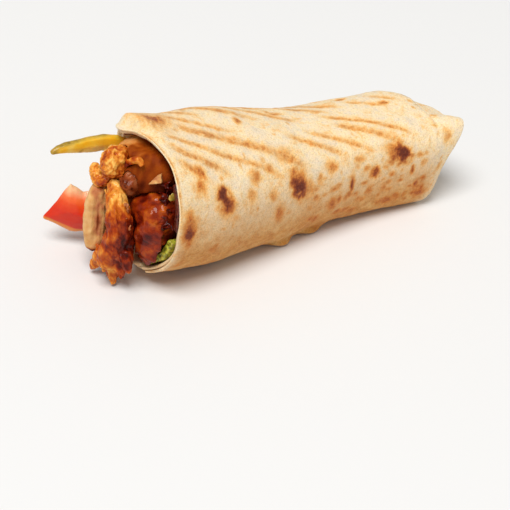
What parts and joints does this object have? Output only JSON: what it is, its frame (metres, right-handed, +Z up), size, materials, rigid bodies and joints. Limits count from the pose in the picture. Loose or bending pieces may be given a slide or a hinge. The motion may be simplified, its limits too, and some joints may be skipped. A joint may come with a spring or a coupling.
{
  "type": "doner kebab sandwich",
  "caption": "Grilled flatbread rolled round roasted chicken with tomato, pickle and lettuce; meat and salad spill from the open mouth and the other end is folded shut.",
  "frame": {"origin": "middle of the footprint of the whole wrap, on the table that it rests on", "axes": "+X along the roll from the open mouth to the folded end, +Z up, +Y to the far side, where the pickle strip and the tomato wedge stick out"},
  "size_m": [0.2222, 0.0774, 0.0765],
  "materials": {
    "flatbread": "soft toasted flatbread, matt",
    "chicken_back": "roasted chicken, moist",
    "chicken_chunk": "roasted chicken, moist",
    "chicken_front": "browned roasted chicken, moist",
    "chicken_glazed": "dark glazed chicken, wet sheen",
    "chicken_nugget": "crisp golden roasted chicken",
    "chicken_slice": "pale cut chicken with a browned rind",
    "chicken_strip": "crisp golden strip of chicken",
    "chicken_upper": "pale roasted chicken, moist",
    "lettuce_strip": "shredded green lettuce",
    "onion_strip": "dark red onion, moist",
    "pepper_piece": "pale green pepper",
    "pickle_strip": "pickled cucumber, wet and slightly clear",
    "tomato_wedge": "fresh tomato, wet cut faces"
  },
  "bodies": {
    "root": {"flatbread": "flatbread", "chicken_back": "chicken_back", "chicken_chunk": "chicken_chunk", "chicken_front": "chicken_front", "chicken_glazed": "chicken_glazed", "chicken_nugget": "chicken_nugget", "chicken_slice": "chicken_slice", "chicken_strip": "chicken_strip", "chicken_upper": "chicken_upper", "lettuce_strip": "lettuce_strip", "onion_strip": "onion_strip", "pepper_piece": "pepper_piece", "pickle_strip": "pickle_strip", "tomato_wedge": "tomato_wedge"}
  },
  "joints": []
}
